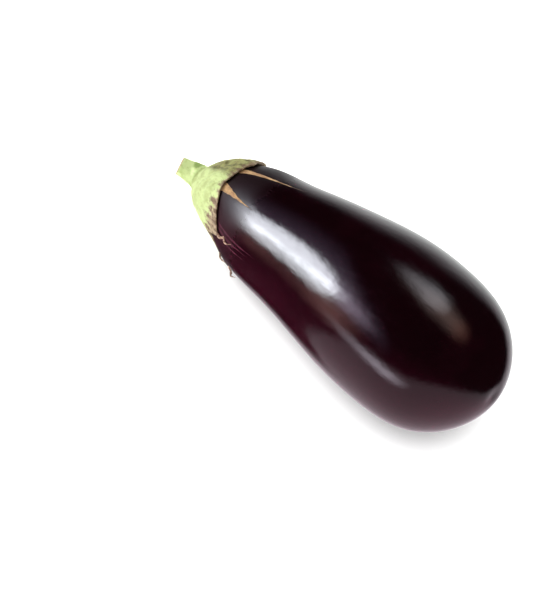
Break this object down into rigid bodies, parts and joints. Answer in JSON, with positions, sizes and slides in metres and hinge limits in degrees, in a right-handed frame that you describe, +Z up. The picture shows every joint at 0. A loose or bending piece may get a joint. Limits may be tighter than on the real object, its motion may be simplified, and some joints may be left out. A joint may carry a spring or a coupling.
{
  "type": "eggplant",
  "caption": "Whole glossy dark purple eggplant with its green calyx and a short cut stem, lying on its side on a small flat spot.",
  "frame": {"origin": "centre of the small flat spot on the flank that the fruit lies on, at the height of the surface", "axes": "+X from the stem to the blossom end, level; +Z up, away from the surface; the fruit's own axis rises 8.5 degrees towards the blossom end"},
  "size_m": [0.2351, 0.0901, 0.0933],
  "materials": {
    "skin": "smooth waxy skin, almost black purple, glossy, with a few tan corky streaks under the calyx",
    "calyx": "matte, finely wrinkled, light green mottled with olive, with dry tan margins",
    "stem": "matte, lightly ribbed, fresh light green, with a tan cut end"
  },
  "bodies": {
    "root": {"fruit": "skin", "calyx": "calyx", "stem": "stem"}
  },
  "joints": []
}
